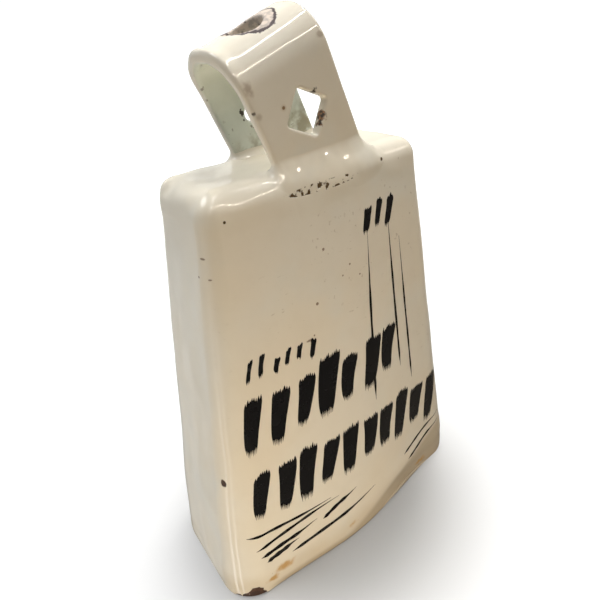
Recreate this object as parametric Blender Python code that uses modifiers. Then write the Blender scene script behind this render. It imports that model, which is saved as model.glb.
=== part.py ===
"""A rod-mounted cowbell, welded up from pressed sheet steel and a bent strap.

Metres, +Z up. The open mouth stands on z = 0 and the closed end is uppermost. The broad striking
face looks along -Y, and the bell's width runs along X. The body is two half shells and a cap,
joined by weld beads. The bracket is an inverted U that leans sideways, welded to the cap.
"""

import math

import bmesh
import bpy
from mathutils import Matrix, Vector

# Fits
GAP = 0.0003  # between solids that touch on the real bell
CUT_MARGIN = 0.004  # how far a cutter runs past what it cuts

# Bell body
BELL_HEIGHT = 0.127
SHEET = 0.002  # steel and enamel together
MOUTH_WIDTH = 0.1002
MOUTH_DEPTH = 0.0436  # at the corners, before the broad faces bow out
TOP_WIDTH = 0.0728
TOP_DEPTH = 0.0274
MOUTH_BOW = 0.0040  # how far each broad face bulges at its middle
TOP_BOW = 0.0012
MOUTH_CORNER = 0.011
TOP_CORNER = 0.0045
TOP_ROUNDING = 0.0055  # radius where the walls turn over into the top
LIP_HEIGHT = 0.009  # the last stretch of wall, which turns in at the mouth
LIP_TURN = 0.0006

# Weld beads that join the body's pieces
BEAD_RADIUS = 0.0013
BEAD_ROOM = BEAD_RADIUS + GAP  # from a bead's centre line to the edge it joins

# Rod bracket
STRAP_WIDTH = 0.0275
STRAP_THICKNESS = 0.003
STRAP_EDGE = 0.0007  # bevel along the strap's edges
BRACKET_DEPTH = 0.0242  # over the two legs
BRACKET_HEIGHT = 0.0372  # from the bell's top to the outside of the crown
BRACKET_BEND = 0.011  # outer radius of the two bends
BRACKET_LEAN = math.radians(-21.0)  # about Y, the crown towards -X
BRACKET_OFFSET = 0.0015  # of the bracket's foot along X

# Holes in the bracket
ROD_DIAMETER = 0.009525
ROD_CLEARANCE = 0.00035
ROD_HEIGHT = 0.0144  # of the rod's axis above the bell's top, along the leg
SCREW_HOLE_RADIUS = 0.0052

# Fillet welds round the bracket's feet
FILLET_HEIGHT = 0.0048  # up the leg
FILLET_REACH = 0.0046  # out from the leg, over the cap
FILLET_TOE = 0.0006  # thickness left at the fillet's upper edge

# How finely the lofts are divided
SIDE_STEPS = 5
CORNER_STEPS = 6
FACE_STEPS = 18
WALL_STEPS = 12
ROUNDING_STEPS = 6
LIP_STEPS = 4
FILLET_STEPS = 4

JOINT_HEIGHT = BELL_HEIGHT - TOP_ROUNDING  # the cap's lower edge
RING_BEAD_HEIGHT = JOINT_HEIGHT - BEAD_ROOM
WALL_TOP = RING_BEAD_HEIGHT - BEAD_ROOM
SMALLEST_CORNER = 0.0004

ENAMEL = (0.80, 0.78, 0.73)
INNER_ENAMEL = (0.74, 0.76, 0.73)


# ---------------------------------------------------------------- the scene

def clear_scene():
    for thing in list(bpy.data.objects):
        bpy.data.objects.remove(thing)


def collection(name):
    made = bpy.data.collections.new(name)
    bpy.context.scene.collection.children.link(made)
    return made


def enamel(name, colour, roughness):
    """Fused glass coat over steel: a smooth, glossy dielectric."""
    made = bpy.data.materials.new(name)
    made.use_nodes = True
    shader = made.node_tree.nodes["Principled BSDF"]
    shader.inputs["Base Color"].default_value = (*colour, 1.0)
    shader.inputs["Roughness"].default_value = roughness
    shader.inputs["Metallic"].default_value = 0.0
    return made


def new_object(name, mesh, home, material=None):
    made = bpy.data.objects.new(name, mesh)
    home.objects.link(made)
    if material:
        mesh.materials.append(material)
    return made


def make_guide(cutter):
    cutter.hide_render = True
    cutter.display_type = "WIRE"


def cut(target, cutter):
    step = target.modifiers.new("cut by " + cutter.name, "BOOLEAN")
    step.operation = "DIFFERENCE"
    step.object = cutter


def smooth(mesh):
    mesh.shade_smooth()
    mesh.set_sharp_from_angle(angle=math.radians(35))


# ---------------------------------------------------------------- the body's outline

def blend(at_top, at_mouth, height):
    """A size that changes evenly from the top of the bell down to its mouth."""
    return at_mouth + (at_top - at_mouth) * height / BELL_HEIGHT


def lip_inset(height):
    """How far the wall has turned in at this height above the mouth."""
    if height >= LIP_HEIGHT:
        return 0.0
    return LIP_TURN * (1.0 - height / LIP_HEIGHT) ** 2


def spaced(start, end, steps):
    return [start + (end - start) * k / steps for k in range(steps + 1)]


def half_outline(height, inset, side, seam_gap):
    """The front (side -1) or back (side +1) half of the body's outline, from the left seam to the right."""
    wide = blend(TOP_WIDTH, MOUTH_WIDTH, height) / 2 - inset
    deep = blend(TOP_DEPTH, MOUTH_DEPTH, height) / 2 - inset
    corner = max(blend(TOP_CORNER, MOUTH_CORNER, height) - inset, SMALLEST_CORNER)
    down = 1.0 - height / BELL_HEIGHT
    bow = TOP_BOW + (MOUTH_BOW - TOP_BOW) * down * down
    left = [(-wide, y) for y in spaced(seam_gap, deep - corner, SIDE_STEPS)]
    for turn in spaced(0.0, math.pi / 2, CORNER_STEPS)[1:-1]:
        x = -wide + corner * (1.0 - math.cos(turn))
        left.append((x, deep - corner * (1.0 - math.sin(turn))))
    face = [(x, deep) for x in spaced(-wide + corner, wide - corner, FACE_STEPS)]
    right = [(-x, y) for x, y in reversed(left)]
    outline = []
    for x, y in left + face + right:
        swell = bow * (1.0 + math.cos(math.pi * x / wide)) / 2
        outline.append((x, side * (y + swell * y / deep)))
    return outline


def full_outline(height, inset=0.0):
    """The whole outline, as one loop."""
    front = half_outline(height, inset, -1, 0.0)
    back = half_outline(height, inset, 1, 0.0)
    return front + back[-2:0:-1]


def at_height(points, height):
    return [Vector((x, y, height)) for x, y in points]


# ---------------------------------------------------------------- lofts

def loft(name, rows, home, material, looped):
    """A closed solid through a list of outlines with the same number of points.

    With looped, each outline is a closed loop and the first and last are capped. Without it, each
    outline is open and the rows themselves close on each other, as round a wall's thickness.
    """
    bm = bmesh.new()
    grid = [[bm.verts.new(point) for point in row] for row in rows]
    count = len(rows[0])
    bands = len(rows) - 1 if looped else len(rows)
    for i in range(bands):
        lower = grid[i]
        upper = grid[(i + 1) % len(rows)]
        for j in range(count if looped else count - 1):
            k = (j + 1) % count
            bm.faces.new((lower[j], lower[k], upper[k], upper[j]))
    if looped:
        bm.faces.new(reversed(grid[0]))
        bm.faces.new(grid[-1])
    else:
        bm.faces.new([row[0] for row in grid])
        bm.faces.new([row[-1] for row in reversed(grid)])
    bmesh.ops.recalc_face_normals(bm, faces=bm.faces)
    mesh = bpy.data.meshes.new(name)
    bm.to_mesh(mesh)
    bm.free()
    smooth(mesh)
    return new_object(name, mesh, home, material)


def wall_heights():
    lip = spaced(0.0, LIP_HEIGHT, LIP_STEPS)
    return lip + spaced(LIP_HEIGHT, WALL_TOP, WALL_STEPS)[1:]


def half_shell(name, side, home, material):
    """One pressed half of the body: a broad face with its corners and half of each narrow side."""
    rows = []
    for height in wall_heights():
        rows.append(at_height(half_outline(height, lip_inset(height), side, BEAD_ROOM), height))
    for height in reversed(wall_heights()):
        inset = lip_inset(height) + SHEET
        rows.append(at_height(half_outline(height, inset, side, BEAD_ROOM), height))
    return loft(name, rows, home, material, looped=False)


def rounding(radius, start_inset):
    """(height, inset) up the turn from wall to top, for a surface this far inside the outer one."""
    steps = []
    for turn in spaced(0.0, math.pi / 2, ROUNDING_STEPS):
        height = JOINT_HEIGHT + radius * math.sin(turn)
        steps.append((height, start_inset + radius * (1.0 - math.cos(turn))))
    return steps


def end_cap(name, home, material):
    """The closed end, a shallow pressed dish with rounded edges."""
    rows = []
    for height, inset in reversed(rounding(TOP_ROUNDING - SHEET, SHEET)):
        rows.append(at_height(full_outline(height, inset), height))
    for height, inset in rounding(TOP_ROUNDING, 0.0):
        rows.append(at_height(full_outline(height, inset), height))
    return loft(name, rows, home, material, looped=True)


def envelope(name, home):
    """The outside of the bell's closed end, grown by the gap, which trims what is welded on to it."""
    low = BELL_HEIGHT - FILLET_HEIGHT - BRACKET_BEND
    rows = [at_height(full_outline(low, -GAP), low)]
    for height, inset in rounding(TOP_ROUNDING + GAP, -GAP):
        rows.append(at_height(full_outline(height, inset), height))
    made = loft(name, rows, home, None, looped=True)
    make_guide(made)
    return made


# ---------------------------------------------------------------- weld beads on the body

def bead(name, points, cyclic, home, material):
    """A round bead of weld metal along a line."""
    curve = bpy.data.curves.new(name, "CURVE")
    curve.dimensions = "3D"
    curve.bevel_depth = BEAD_RADIUS
    curve.bevel_resolution = 2
    curve.use_fill_caps = True
    spline = curve.splines.new("POLY")
    spline.points.add(len(points) - 1)
    for target, point in zip(spline.points, points):
        target.co = (*point, 1.0)
    spline.use_cyclic_u = cyclic
    return new_object(name, curve, home, material)


def side_seam(name, side, home, material):
    """The bead down one narrow side, from just above the mouth to just under the cap's bead."""
    points = []
    for height in spaced(LIP_TURN, WALL_TOP - GAP, WALL_STEPS):
        wide = blend(TOP_WIDTH, MOUTH_WIDTH, height) / 2
        points.append((side * (wide - lip_inset(height) - SHEET / 2), 0.0, height))
    return bead(name, points, False, home, material)


def cap_seam(name, home, material):
    points = at_height(full_outline(RING_BEAD_HEIGHT, SHEET / 2), RING_BEAD_HEIGHT)
    return bead(name, points, True, home, material)


# ---------------------------------------------------------------- the bracket

def bracket_frame():
    """The bracket's own axes: its foot on the bell's top, its legs along the local Z."""
    foot = Matrix.Translation((BRACKET_OFFSET, 0.0, BELL_HEIGHT))
    return foot @ Matrix.Rotation(BRACKET_LEAN, 4, "Y")


def strap_line(leg_end):
    """The outside of the bent strap in the local YZ plane, from the front leg's foot to the back one's."""
    half = BRACKET_DEPTH / 2
    line = [(-half, leg_end), (-half, BRACKET_HEIGHT - BRACKET_BEND)]
    for turn in spaced(0.0, math.pi / 2, 2 * ROUNDING_STEPS)[1:]:
        y = -half + BRACKET_BEND * (1.0 - math.cos(turn))
        line.append((y, BRACKET_HEIGHT - BRACKET_BEND * (1.0 - math.sin(turn))))
    return line + [(-y, z) for y, z in reversed(line)]


def bar(name, size, place, home):
    """A rectangular cutter, centred on its place."""
    bm = bmesh.new()
    bmesh.ops.create_cube(bm, size=1.0)
    bmesh.ops.scale(bm, vec=size, verts=bm.verts)
    mesh = bpy.data.meshes.new(name)
    bm.to_mesh(mesh)
    bm.free()
    made = new_object(name, mesh, home)
    made.matrix_world = bracket_frame() @ place
    make_guide(made)
    return made


def rod_hole_cutter(home):
    """A square bar on edge, which leaves a diamond in each leg for the mounting rod."""
    side = ROD_DIAMETER + ROD_CLEARANCE
    place = Matrix.Translation((0.0, 0.0, ROD_HEIGHT)) @ Matrix.Rotation(math.pi / 4, 4, "Y")
    return bar("rod_hole_cutter", (side, BRACKET_DEPTH + 2 * CUT_MARGIN, side), place, home)


def screw_hole_cutter(home):
    bm = bmesh.new()
    depth = STRAP_THICKNESS + 2 * CUT_MARGIN
    bmesh.ops.create_cone(
        bm, cap_ends=True, segments=32, radius1=SCREW_HOLE_RADIUS, radius2=SCREW_HOLE_RADIUS, depth=depth
    )
    mesh = bpy.data.meshes.new("screw_hole_cutter")
    bm.to_mesh(mesh)
    bm.free()
    made = new_object("screw_hole_cutter", mesh, home)
    made.matrix_world = bracket_frame() @ Matrix.Translation((0.0, 0.0, BRACKET_HEIGHT))
    make_guide(made)
    return made


def bracket(name, body_envelope, cutters, home, material):
    """The strap: an open strip along its outside, thickened inwards, then trimmed and pierced."""
    leg_end = -TOP_ROUNDING - CUT_MARGIN
    bm = bmesh.new()
    pairs = []
    for y, z in strap_line(leg_end):
        pairs.append([bm.verts.new((x, y, z)) for x in (-STRAP_WIDTH / 2, STRAP_WIDTH / 2)])
    for first, second in zip(pairs, pairs[1:]):
        bm.faces.new((first[0], first[1], second[1], second[0]))
    mesh = bpy.data.meshes.new(name)
    bm.to_mesh(mesh)
    bm.free()
    made = new_object(name, mesh, home, material)
    made.matrix_world = bracket_frame()
    wall = made.modifiers.new("strap thickness", "SOLIDIFY")
    wall.thickness = STRAP_THICKNESS
    wall.offset = -1.0
    wall.use_even_offset = True
    edges = made.modifiers.new("eased edges", "BEVEL")
    edges.width = STRAP_EDGE
    edges.segments = 2
    edges.limit_method = "ANGLE"
    edges.angle_limit = math.radians(60)
    cut(made, body_envelope)
    cut(made, rod_hole_cutter(cutters))
    cut(made, screw_hole_cutter(cutters))
    smooth(mesh)
    return made


def leg_cutter(side, home):
    """One leg of the strap, grown by the gap, so that a foot weld can wrap round it."""
    middle = side * (BRACKET_DEPTH - STRAP_THICKNESS) / 2
    size = (STRAP_WIDTH + 2 * GAP, STRAP_THICKNESS + 2 * GAP, 4 * BRACKET_BEND)
    return bar("leg_cutter", size, Matrix.Translation((0.0, middle, 0.0)), home)


def foot_weld(name, side, body_envelope, cutters, home, material):
    """The fillet round one foot: a skirt that narrows up the leg, less the leg and the bell's end."""
    outer = BRACKET_DEPTH / 2
    inner = outer - STRAP_THICKNESS
    wall_reach = TOP_DEPTH / 2 + TOP_BOW - outer  # the fillet's outside ends flush with the wall
    leg_half = STRAP_WIDTH / 2 / math.cos(BRACKET_LEAN)  # along X, where the leg meets a level plane
    turns = [0.0] + spaced(0.0, math.pi / 2, FILLET_STEPS)
    heights = [-TOP_ROUNDING] + [FILLET_HEIGHT * (1.0 - math.cos(turn)) for turn in turns[1:]]
    rows = []
    for turn, height in zip(turns, heights):
        share = 1.0 - math.sin(turn)
        reach = FILLET_TOE + (FILLET_REACH - FILLET_TOE) * share
        outward = FILLET_TOE + (wall_reach - FILLET_TOE) * share
        middle = BRACKET_OFFSET + max(height, 0.0) * math.tan(BRACKET_LEAN)
        low, high = sorted((side * (inner - reach), side * (outer + outward)))
        loop = rounded_rectangle(leg_half + reach, low, high, reach)
        rows.append(at_height([(x + middle, y) for x, y in loop], BELL_HEIGHT + height))
    made = loft(name, rows, home, material, looped=True)
    cut(made, body_envelope)
    cut(made, leg_cutter(side, cutters))
    return made


def rounded_rectangle(half, low, high, corner):
    """A loop from x = -half to half and y = low to high, with its corners rounded."""
    corner = min(corner, (high - low) / 2 - SMALLEST_CORNER)
    loop = []
    for quarter, (sx, y) in enumerate(((1, low), (1, high), (-1, high), (-1, low))):
        inward = 1 if y == low else -1
        centre = Vector((sx * (half - corner), y + inward * corner))
        start = math.pi / 2 * (quarter - 1)
        for turn in spaced(start, start + math.pi / 2, CORNER_STEPS):
            loop.append((centre.x + corner * math.cos(turn), centre.y + corner * math.sin(turn)))
    return loop


# ---------------------------------------------------------------- assembly

def build():
    clear_scene()
    parts = collection("cowbell")
    cutters = collection("cutters")
    outside = enamel("enamel", ENAMEL, 0.12)
    shade = enamel("inner_enamel", INNER_ENAMEL, 0.2)
    end = envelope("end_envelope", cutters)
    half_shell("front_shell", -1, parts, outside)
    half_shell("back_shell", 1, parts, outside)
    end_cap("end_cap", parts, outside)
    side_seam("left_seam_weld", -1, parts, shade)
    side_seam("right_seam_weld", 1, parts, shade)
    cap_seam("cap_seam_weld", parts, shade)
    bracket("mounting_bracket", end, cutters, parts, outside)
    foot_weld("front_foot_weld", -1, end, cutters, parts, outside)
    foot_weld("back_foot_weld", 1, end, cutters, parts, outside)


build()
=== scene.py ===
import math

import bpy
import numpy as np
from mathutils import Matrix, Vector


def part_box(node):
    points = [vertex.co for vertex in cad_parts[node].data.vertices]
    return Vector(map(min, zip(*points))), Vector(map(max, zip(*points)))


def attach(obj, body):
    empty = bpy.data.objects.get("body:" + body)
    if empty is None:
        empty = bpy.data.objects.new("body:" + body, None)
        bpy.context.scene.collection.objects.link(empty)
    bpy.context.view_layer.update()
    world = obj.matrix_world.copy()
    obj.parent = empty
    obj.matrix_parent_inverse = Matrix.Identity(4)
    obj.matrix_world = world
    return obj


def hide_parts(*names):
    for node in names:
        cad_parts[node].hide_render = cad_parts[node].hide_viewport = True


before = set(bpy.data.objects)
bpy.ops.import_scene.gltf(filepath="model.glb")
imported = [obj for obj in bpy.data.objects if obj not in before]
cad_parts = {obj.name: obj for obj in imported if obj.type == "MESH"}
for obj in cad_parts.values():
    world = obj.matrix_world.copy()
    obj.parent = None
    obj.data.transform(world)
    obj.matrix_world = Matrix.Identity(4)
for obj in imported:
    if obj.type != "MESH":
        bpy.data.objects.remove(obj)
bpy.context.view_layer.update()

MM = 0.001

# -------- sizes, as in the CAD

BELL_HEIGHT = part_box("end_cap")[1].z
SHEET = 2.0 * MM
MOUTH_WIDTH, MOUTH_DEPTH = 100.2 * MM, 43.6 * MM
TOP_WIDTH, TOP_DEPTH = 72.8 * MM, 27.4 * MM
MOUTH_BOW, TOP_BOW = 4.0 * MM, 1.2 * MM
MOUTH_CORNER, TOP_CORNER = 11.0 * MM, 4.5 * MM
TOP_ROUNDING = 5.5 * MM
LIP_HEIGHT, LIP_TURN = 9.0 * MM, 0.6 * MM
JOINT_HEIGHT = BELL_HEIGHT - TOP_ROUNDING
RIM = 0.6 * MM  # height over which the enamel rounds the mouth's edge
EDGE_POWER = 0.7  # below 1, so that the mouth's edge is squarer than a half round
RING_LOW, RING_HIGH = 117.8 * MM, 121.5 * MM
SIDE_END, CORNER_END = 0.22, 0.42  # where the side and the corner end along a quarter of the outline

STRAP_WIDTH, STRAP_THICKNESS, STRAP_EDGE = 27.5 * MM, 3.0 * MM, 1.05 * MM
BRACKET_DEPTH, BRACKET_HEIGHT, BRACKET_BEND = 24.2 * MM, 37.2 * MM, 11.0 * MM
BRACKET_LEAN = math.radians(-21.0)
BRACKET_OFFSET = 1.5 * MM
LEG_END = -9 * MM
ROD_HOLE_SIDE = 9.875 * MM
ROD_HEIGHT = 14.4 * MM
ROD_HOLE_RIGHT, ROD_HOLE_DOWN = 0.6 * MM, 0.4 * MM  # how far the diamonds sit off the CAD's
FRONT_HOLE_CORNER, BACK_HOLE_CORNER = 1.1 * MM, 2.2 * MM  # radii of the diamonds' corners
SCREW_HOLE_RADIUS = 5.2 * MM
HOLE_EASE = 0.8 * MM  # radius of the enamel round the holes' edges

LEG_COVER = 1.0 * MM  # how deep under the body's enamel the strap's legs stop
WELD_SINK = 0.015 * MM  # how far the feet's enamel lies under the body's where both run on

RIM_ROWS = 8
CENTRE_LEVEL = 3.97  # the closed end's rows stop here, just short of its middle
BRACKET_CELL, FOOT_CELL = 0.4 * MM, 0.42 * MM
BRACKET_BOX = np.array(((-15.5, -13.5, -8.5), (15.5, 13.5, 39.0))) * MM
FRONT_FOOT_BOX = np.array(((-24, -17, 114), (31, -2, 138))) * MM
BACK_FOOT_BOX = np.array(((-24, 2, 114), (31, 17, 138))) * MM

TO_WORLD = Matrix.Translation((BRACKET_OFFSET, 0.0, BELL_HEIGHT)) @ Matrix.Rotation(BRACKET_LEAN, 4, "Y")
TO_BRACKET = np.array(TO_WORLD.inverted())


# -------- smooth random fields

def waves(points, length, seed, count=14):
    """A smooth random field of about +-1 whose ripples are about this long. points is (..., 3)."""
    rng = np.random.default_rng(seed)
    total = np.zeros(points.shape[:-1])
    for _ in range(count):
        direction = rng.normal(size=3)
        direction /= np.linalg.norm(direction)
        pitch = length * rng.uniform(0.7, 1.6)
        total += np.sin(points @ direction * (2 * math.pi / pitch) + rng.uniform(0, 2 * math.pi))
    return total / math.sqrt(count / 2) / 1.6  # 1.6 standard deviations become 1


def hump(value, centre, half_width):
    """A cosine hump of height 1 that dies away smoothly at centre +- half_width."""
    t = np.clip(np.abs(value - centre) / half_width, 0.0, 1.0)
    return 0.5 + 0.5 * np.cos(math.pi * t)


def rise(value, start, end):
    """0 below start, 1 above end, smooth in between."""
    t = np.clip((value - start) / (end - start), 0.0, 1.0)
    return t * t * (3 - 2 * t)


# -------- the body's outer surface

def blend(at_top, at_mouth, height):
    """A size at a height of the body, on a straight line between its mouth and its top."""
    return at_mouth + (at_top - at_mouth) * height / BELL_HEIGHT


def lip_inset(height):
    """How far the lip turns in at a height near the mouth."""
    return LIP_TURN * np.clip(1.0 - height / LIP_HEIGHT, 0.0, 1.0) ** 2


def section(height, inset):
    """Half-width, half-depth, corner radius and bulge of the body's outline at a height."""
    wide = blend(TOP_WIDTH, MOUTH_WIDTH, height) / 2 - inset
    deep = blend(TOP_DEPTH, MOUTH_DEPTH, height) / 2 - inset
    corner = np.maximum(blend(TOP_CORNER, MOUTH_CORNER, height) - inset, 0.4 * MM)
    down = 1.0 - height / BELL_HEIGHT
    bow = TOP_BOW + (MOUTH_BOW - TOP_BOW) * down * down
    return wide, deep, corner, bow


def outline(station, height, inset):
    """Points of the outline. station runs 0 to 4: left seam, front middle, right seam, back middle."""
    quarter = np.floor(station).astype(int) % 4
    along = station - np.floor(station)
    along = np.where(quarter % 2 == 0, along, 1.0 - along)
    side = np.clip(along / SIDE_END, 0, 1)
    turn = np.clip((along - SIDE_END) / (CORNER_END - SIDE_END), 0, 1) * math.pi / 2
    face = np.clip((along - CORNER_END) / (1 - CORNER_END), 0, 1)
    wide, deep, corner, bow = section(height, inset)
    x = -wide + corner * (1 - np.cos(turn)) + (wide - corner) * face
    y = np.where(along < SIDE_END, side * (deep - corner), deep - corner * (1 - np.sin(turn)))
    y = y + bow * (1 + np.cos(math.pi * x / wide)) / 2 * y / deep
    x = np.where((quarter == 1) | (quarter == 2), -x, x)
    y = np.where(quarter < 2, -y, y)
    return np.stack([x, y, np.broadcast_to(height, x.shape)], -1)


CHIP = (  # the bare patch at the mouth's front left corner: centres and radii of its lobes, in mm
    (-47.9, -17.0, 0.0, 1.3), (-46.2, -19.3, 0.2, 1.9), (-43.6, -21.0, 1.6, 2.7), (-42.2, -21.4, 0.4, 2.0),
)
CHIP_DEPTH = 0.3 * MM


def relief(p):
    """How far the enamel stands off the plain shape: waviness, weld lumps, a fold and the chip."""
    x, y, z = p[..., 0], p[..., 1], p[..., 2]
    low = rise(z, 1.5 * MM, 6 * MM)
    broad = 0.05 * waves(p, 34 * MM, 11) + 0.012 * waves(p, 14 * MM, 12)
    narrow = rise(np.abs(x) - blend(TOP_WIDTH, MOUTH_WIDTH, z) / 2, -5 * MM, -0.5 * MM)
    stretched = p * np.array([1.0, 1.0, 0.6])
    seam = narrow * (0.07 * waves(stretched, 9 * MM, 13) + 0.10 * waves(p, 24 * MM, 14))
    seam = seam + narrow * 0.10 * hump(y, 0.0, 6 * MM)
    ring = hump(z, 120.0 * MM, 4.5 * MM) * (0.14 + 0.17 * waves(p, 12 * MM, 15))
    top = rise(z, 122.5 * MM, 126.0 * MM)
    left = 0.3 + 0.7 * rise(-x, 8 * MM, 26 * MM)
    crown = top * left * (0.20 * waves(p, 14 * MM, 17) + 0.05 * waves(p, 6 * MM, 18))
    shoulder = hump(z, 125.0 * MM, 3.4 * MM) * left * 0.26 * waves(p, 10 * MM, 19)
    # the front's lower right is folded out a little, and its lip is tucked in
    front = rise(-y, 15 * MM, 19 * MM)
    fold = hump(z, 11 * MM, 6 * MM) * rise(x, -10 * MM, 12 * MM) * 0.30
    tuck = (1 - rise(z, 0.0, 13 * MM)) * (0.3 * hump(x, -9 * MM, 15 * MM) - 1.5 * hump(x, 22 * MM, 23 * MM))
    whole = low * (broad + seam) + ring + crown + shoulder + front * (fold + tuck)
    return whole * MM - CHIP_DEPTH * chip_mask(p)


def chip_mask(p):
    """1 where the enamel has chipped off the front left corner, 0 elsewhere, with a ragged edge."""
    found = np.zeros(p.shape[:-1])
    ragged = 0.22 * MM * waves(p, 1.6 * MM, 21)
    for x, y, z, radius in CHIP:
        away = np.linalg.norm(p - np.array([x, y, z]) * MM, axis=-1)
        found = np.maximum(found, rise(radius * MM + ragged - away, -0.12 * MM, 0.12 * MM))
    return found


def profile(level, start, depth):
    """Height and inset of a layer this deep in the sheet. level: 1-2 wall, 2-3 rounding, 3-4 flat end."""
    wall = np.clip(level - 1, 0, 1)
    bend = np.clip(level - 2, 0, 1) * math.pi / 2
    rounding = TOP_ROUNDING - depth
    height = start + wall * (JOINT_HEIGHT - start)
    inset = np.where(level > 2, depth + rounding * (1 - np.cos(bend)), lip_inset(height) + depth)
    height = np.where(level > 2, JOINT_HEIGHT + rounding * np.sin(bend), height)
    return height, inset


def layer(station, level, height, inset):
    """Points of the outline, drawn in to the middle over the flat end."""
    p = outline(station, height, inset)
    p[..., :2] *= (1.0 - np.clip(level - 3, 0, 1))[..., None]
    return p


def outer_layer(station, level):
    """The outer surface before relief. Levels under 1 go round the mouth's edge."""
    rim = np.clip(level, 0, 1) * math.pi
    square = np.sign(np.cos(rim)) * np.abs(np.cos(rim)) ** EDGE_POWER
    height, inset = profile(level, RIM, 0.0)
    height = np.where(level < 1, RIM * (1 - np.sin(rim) ** EDGE_POWER), height)
    inset = np.where(level < 1, lip_inset(RIM) + SHEET / 2 * (1 + square), inset)
    return layer(station, level, height, inset)


def inner_layer(station, level):
    """The inner wall. Levels under 1 bunch up at the rim's inner end."""
    start = RIM + 0.02 * MM * np.clip(level, 0, 1)
    return layer(station, level, *profile(level, start, SHEET))


def grid_normals(grid):
    """Normals of a grid of points (rows, columns, 3) that closes on itself along the columns."""
    along = np.roll(grid, -1, 1) - np.roll(grid, 1, 1)
    up = np.gradient(grid, axis=0)
    n = np.cross(along, up)
    return n / np.maximum(np.linalg.norm(n, axis=-1, keepdims=True), 1e-12)


def spread(*runs):
    """Values along several runs given as (start, end, steps); the end of the last is included."""
    parts = [np.linspace(a, b, n, endpoint=False) for a, b, n in runs]
    return np.concatenate(parts + [[runs[-1][1]]])


def wall_level(height):
    """The level at a height of the wall."""
    return 1 + (height - RIM) / (JOINT_HEIGHT - RIM)


def stations():
    """Columns round the outline; they crowd together at the left front corner, where the chip is."""
    quarter = spread((0, SIDE_END, 14), (SIDE_END, CORNER_END, 12), (CORNER_END, 1, 34))
    first = spread(
        (0, 0.15, 10), (0.15, SIDE_END, 12), (SIDE_END, CORNER_END, 56), (CORNER_END, 0.6, 30), (0.6, 1, 24),
    )
    return np.concatenate([first[:-1], 2 - quarter[::-1][:-1], 2 + quarter[:-1], 4 - quarter[::-1][:-1]])


def add_object(name, data):
    made = bpy.data.objects.new(name, data)
    bpy.context.scene.collection.objects.link(made)
    return made


SHARP_EDGE = 0.55  # cosine between a face and a smooth normal, under which the face is shaded flat


def mesh_object(name, verts, faces, normals=None, material=None):
    """A mesh from arrays. normals has a row per vertex; a face that turns away from them keeps its own."""
    mesh = bpy.data.meshes.new(name)
    mesh.from_pydata(verts.tolist(), [], faces)
    mesh.update()
    if material:
        mesh.materials.append(material)
    if normals is not None:
        mesh.shade_smooth()
        chosen = normals[[loop.vertex_index for loop in mesh.loops]]
        flat = np.array([face.normal for face in mesh.polygons])
        own = np.repeat(flat, [face.loop_total for face in mesh.polygons], axis=0)
        agree = np.einsum("ij,ij->i", chosen, own)
        sharp = agree < SHARP_EDGE
        chosen[sharp] = own[sharp]
        mesh.normals_split_custom_set(chosen.tolist())
    return add_object(name, mesh)


def mark(piece, name, values):
    """Stores a number per vertex, which the materials read as an attribute."""
    attribute = piece.data.attributes.new(name, "FLOAT", "POINT")
    attribute.data.foreach_set("value", values)


class Shell:
    """The whole body as two grids of points, outside and inside, which the pieces are taken from."""

    def __init__(self):
        self.station = stations()
        heights = spread((RIM, 10 * MM, 34), (10 * MM, 110 * MM, 56), (110 * MM, JOINT_HEIGHT, 22))
        levels = np.concatenate([
            np.linspace(0, 1, RIM_ROWS + 1)[:-1],
            wall_level(heights),
            np.linspace(2, 3, 15)[1:],
            np.linspace(3, CENTRE_LEVEL, 26)[1:],
        ])
        self.levels = levels
        s, v = np.meshgrid(self.station, levels)
        plain = outer_layer(s, v)
        out = grid_normals(plain)
        lift = relief(plain) * np.clip(v, 0, 1) ** 2
        self.outer = plain + out * lift[..., None]
        self.outer_normal = grid_normals(self.outer)
        self.heights = plain[:, 0, 2]
        self.inner = inner_layer(s, v)
        self.inner_normal = -grid_normals(self.inner)

    def row(self, height):
        """The row nearest a height; the rim's rows are left out."""
        return int(np.argmin(np.abs(self.heights + np.where(self.levels < 1, 1, 0) - height)))

    def piece(self, name, rows, columns, material):
        """A closed solid: these rows of the outside and the inside, over these columns, or all round."""
        low, high = rows
        cyclic = columns is None
        cols = np.arange(len(self.station)) if cyclic else columns
        start = RIM_ROWS if low == 0 else low
        outer = self.outer[low:high + 1][:, cols]
        inner = self.inner[start:high + 1][:, cols][::-1]
        loop = np.concatenate([outer, inner])
        normals = np.concatenate([
            self.outer_normal[low:high + 1][:, cols], self.inner_normal[start:high + 1][:, cols][::-1],
        ])
        closed_end = high == len(self.levels) - 1
        count, width = loop.shape[:2]
        verts = loop.reshape(-1, 3)
        faces = []
        break_at = len(outer) - 1 if closed_end else None
        for i in range(count):
            if i == break_at:
                continue
            j = (i + 1) % count
            for k in range(width if cyclic else width - 1):
                m = (k + 1) % width
                faces.append((i * width + k, i * width + m, j * width + m, j * width + k))
        if closed_end:
            for row, way in ((break_at, 1), (break_at + 1, -1)):
                faces.append([row * width + k for k in range(width)][::way])
        if not cyclic:
            rim = len(outer) - len(inner)
            for k, way in ((0, 1), (width - 1, -1)):
                ring = [i * width + k for i in range(count)]
                strips = []
                for a in range(rim, len(outer) - 1):
                    b = count - 1 - (a - rim)
                    strips.append([ring[a], ring[a + 1], ring[b - 1], ring[b]])
                if rim:
                    strips.append(ring[:rim + 1] + [ring[count - 1]])
                faces += [strip[::way] for strip in strips]
        made = mesh_object(name, verts, faces, normals.reshape(-1, 3), material)
        inside = np.zeros((count, width), np.float32)
        inside[len(outer):] = 1.0
        mark(made, "inside", inside.ravel())
        mark(made, "chip", chip_mask(verts).astype(np.float32))
        return made


# -------- solids from distance fields

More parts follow.
